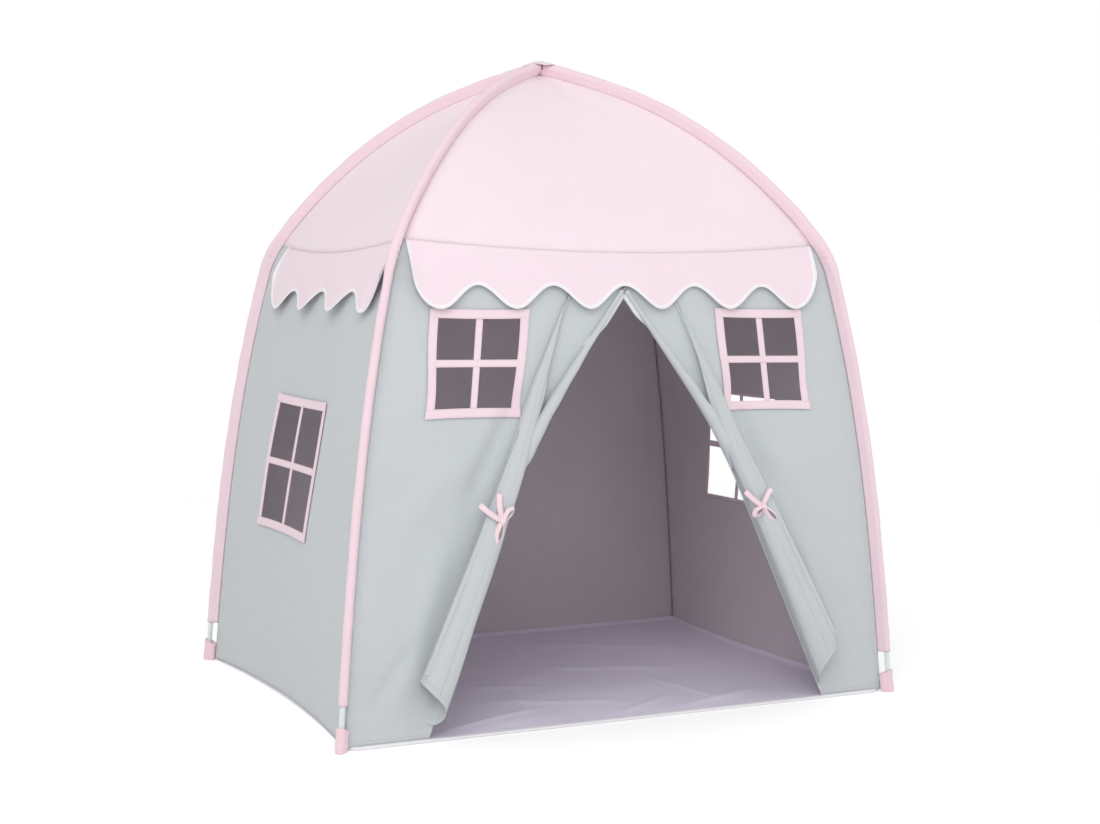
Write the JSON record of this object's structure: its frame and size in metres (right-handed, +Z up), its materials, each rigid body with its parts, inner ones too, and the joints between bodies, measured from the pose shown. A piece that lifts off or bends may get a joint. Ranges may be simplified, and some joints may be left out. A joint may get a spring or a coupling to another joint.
{
  "type": "kids play tent",
  "caption": "Small domed play tent for indoors with scalloped valances, window frames, a floor mat and a zipped door whose flaps are rolled aside and tied.",
  "frame": {"origin": "on the floor at the middle of the floor mat, under the top hub", "axes": "+Z up, -Y out through the door, +X to the right seen from in front of the door"},
  "size_m": [1.2974, 1.0401, 1.3935],
  "materials": {
    "white_tube": "satin",
    "grey_plastic": "matte",
    "pink_cloth": "matte",
    "pocket_cloth": "matte",
    "ribbon": "matte",
    "grey_cloth": "matte",
    "mat_cloth": "matte",
    "zip_metal": "satin"
  },
  "bodies": {
    "tent": {"floor_mat": "mat_cloth", "foot_pocket_back_left": "pocket_cloth", "foot_pocket_back_right": "pocket_cloth", "foot_pocket_front_left": "pocket_cloth", "foot_pocket_front_right": "pocket_cloth", "leg_pole_lower_back_left": "white_tube", "leg_pole_lower_back_right": "white_tube", "leg_pole_lower_front_left": "white_tube", "leg_pole_lower_front_right": "white_tube", "leg_pole_upper_back_left": "white_tube", "leg_pole_upper_back_right": "white_tube", "leg_pole_upper_front_left": "white_tube", "leg_pole_upper_front_right": "white_tube", "pole_sleeve_back_left": "pink_cloth", "pole_sleeve_back_right": "pink_cloth", "pole_sleeve_front_left": "pink_cloth", "pole_sleeve_front_right": "pink_cloth", "roof_panel_back": "pink_cloth", "roof_panel_front": "pink_cloth", "roof_panel_left": "pink_cloth", "roof_panel_right": "pink_cloth", "roof_rod_back_left": "white_tube", "roof_rod_back_right": "white_tube", "roof_rod_front_left": "white_tube", "roof_rod_front_right": "white_tube", "shoulder_elbow_back_left": "grey_plastic", "shoulder_elbow_back_right": "grey_plastic", "shoulder_elbow_front_left": "grey_plastic", "shoulder_elbow_front_right": "grey_plastic", "top_hub": "grey_plastic", "valance_back": "pink_cloth", "valance_front": "pink_cloth", "valance_left": "pink_cloth", "valance_right": "pink_cloth", "wall_back": "grey_cloth", "wall_front": "grey_cloth", "wall_left": "grey_cloth", "wall_right": "grey_cloth", "window_frame_front_left": "pink_cloth", "window_frame_front_right": "pink_cloth", "window_frame_left": "pink_cloth", "window_frame_right": "pink_cloth", "zip_tape_top_left": "ribbon", "zip_tape_top_right": "ribbon"},
    "door_left_1": {"door_left_strip_1": "grey_cloth"},
    "door_left_2": {"door_left_strip_2": "grey_cloth", "tie_bow_left": "ribbon"},
    "door_left_3": {"door_left_strip_3": "grey_cloth"},
    "door_left_4": {"door_left_strip_4": "grey_cloth"},
    "door_left_5": {"door_left_strip_5": "grey_cloth"},
    "door_left_6": {"door_left_strip_6": "grey_cloth"},
    "door_right_1": {"door_right_strip_1": "grey_cloth"},
    "door_right_2": {"door_right_strip_2": "grey_cloth", "tie_bow_right": "ribbon"},
    "door_right_3": {"door_right_strip_3": "grey_cloth"},
    "door_right_4": {"door_right_strip_4": "grey_cloth"},
    "door_right_5": {"door_right_strip_5": "grey_cloth"},
    "door_right_6": {"door_right_strip_6": "grey_cloth"},
    "zip_slider_body": {"zip_slider": "zip_metal"},
    "zip_pull_body": {"zip_pull": "zip_metal"}
  },
  "joints": [
    {"name": "door_left_fold_1", "type": "hinge", "parent": "tent", "child": "door_left_1", "pos_m": [0, -0.39286, 1.13553], "axis": [0.3714, 0.0582, 0.9267], "range_deg": [0, 83.3]},
    {"name": "door_left_fold_2", "type": "hinge", "parent": "door_left_1", "child": "door_left_2", "pos_m": [0, -0.39286, 1.13553], "axis": [0.3618, 0.1355, 0.9224], "range_deg": [0, 96.5]},
    {"name": "door_left_fold_3", "type": "hinge", "parent": "door_left_2", "child": "door_left_3", "pos_m": [0, -0.39286, 1.13553], "axis": [0.4408, 0.1333, 0.8876], "range_deg": [0, 90.7]},
    {"name": "door_left_fold_4", "type": "hinge", "parent": "door_left_3", "child": "door_left_4", "pos_m": [0, -0.39286, 1.13553], "axis": [0.4412, 0.0683, 0.8948], "range_deg": [0, 94.5]},
    {"name": "door_left_fold_5", "type": "hinge", "parent": "door_left_4", "child": "door_left_5", "pos_m": [0, -0.39286, 1.13553], "axis": [0.3871, 0.0754, 0.919], "range_deg": [0, 90.1]},
    {"name": "door_left_fold_6", "type": "hinge", "parent": "door_left_5", "child": "door_left_6", "pos_m": [0, -0.39286, 1.13553], "axis": [0.3905, 0.1231, 0.9123], "range_deg": [0, 90.8]},
    {"name": "door_right_fold_1", "type": "hinge", "parent": "tent", "child": "door_right_1", "pos_m": [0, -0.39543, 1.09457], "axis": [0.3955, -0.0576, -0.9166], "range_deg": [0, 83.3]},
    {"name": "door_right_fold_2", "type": "hinge", "parent": "door_right_1", "child": "door_right_2", "pos_m": [0, -0.39543, 1.09457], "axis": [0.3852, -0.1401, -0.9121], "range_deg": [0, 96.5]},
    {"name": "door_right_fold_3", "type": "hinge", "parent": "door_right_2", "child": "door_right_3", "pos_m": [0, -0.39543, 1.09457], "axis": [0.4686, -0.1377, -0.8726], "range_deg": [0, 90.7]},
    {"name": "door_right_fold_4", "type": "hinge", "parent": "door_right_3", "child": "door_right_4", "pos_m": [0, -0.39543, 1.09457], "axis": [0.4692, -0.0682, -0.8805], "range_deg": [0, 94.5]},
    {"name": "door_right_fold_5", "type": "hinge", "parent": "door_right_4", "child": "door_right_5", "pos_m": [0, -0.39543, 1.09457], "axis": [0.4121, -0.0759, -0.908], "range_deg": [0, 90.1]},
    {"name": "door_right_fold_6", "type": "hinge", "parent": "door_right_5", "child": "door_right_6", "pos_m": [0, -0.39543, 1.09457], "axis": [0.4156, -0.1269, -0.9006], "range_deg": [0, 90.8]},
    {"name": "zip_slide", "type": "slide", "parent": "tent", "child": "zip_slider_body", "axis": [0, -0.0627, -0.998], "range_m": [0, 0.851]},
    {"name": "zip_pull_swing", "type": "hinge", "parent": "zip_slider_body", "child": "zip_pull_body", "pos_m": [0, -0.41188, 0.89122], "axis": [-1, 0, 0], "range_deg": [0, 80]}
  ],
  "couplings": [
    {"joint": "door_left_fold_2", "follows": "door_left_fold_1", "ratio": 1.1585},
    {"joint": "door_left_fold_3", "follows": "door_left_fold_1", "ratio": 1.0888},
    {"joint": "door_left_fold_4", "follows": "door_left_fold_1", "ratio": 1.1345},
    {"joint": "door_left_fold_5", "follows": "door_left_fold_1", "ratio": 1.0816},
    {"joint": "door_left_fold_6", "follows": "door_left_fold_1", "ratio": 1.09},
    {"joint": "door_right_fold_2", "follows": "door_right_fold_1", "ratio": 1.1585},
    {"joint": "door_right_fold_3", "follows": "door_right_fold_1", "ratio": 1.0888},
    {"joint": "door_right_fold_4", "follows": "door_right_fold_1", "ratio": 1.1345},
    {"joint": "door_right_fold_5", "follows": "door_right_fold_1", "ratio": 1.0816},
    {"joint": "door_right_fold_6", "follows": "door_right_fold_1", "ratio": 1.09}
  ]
}
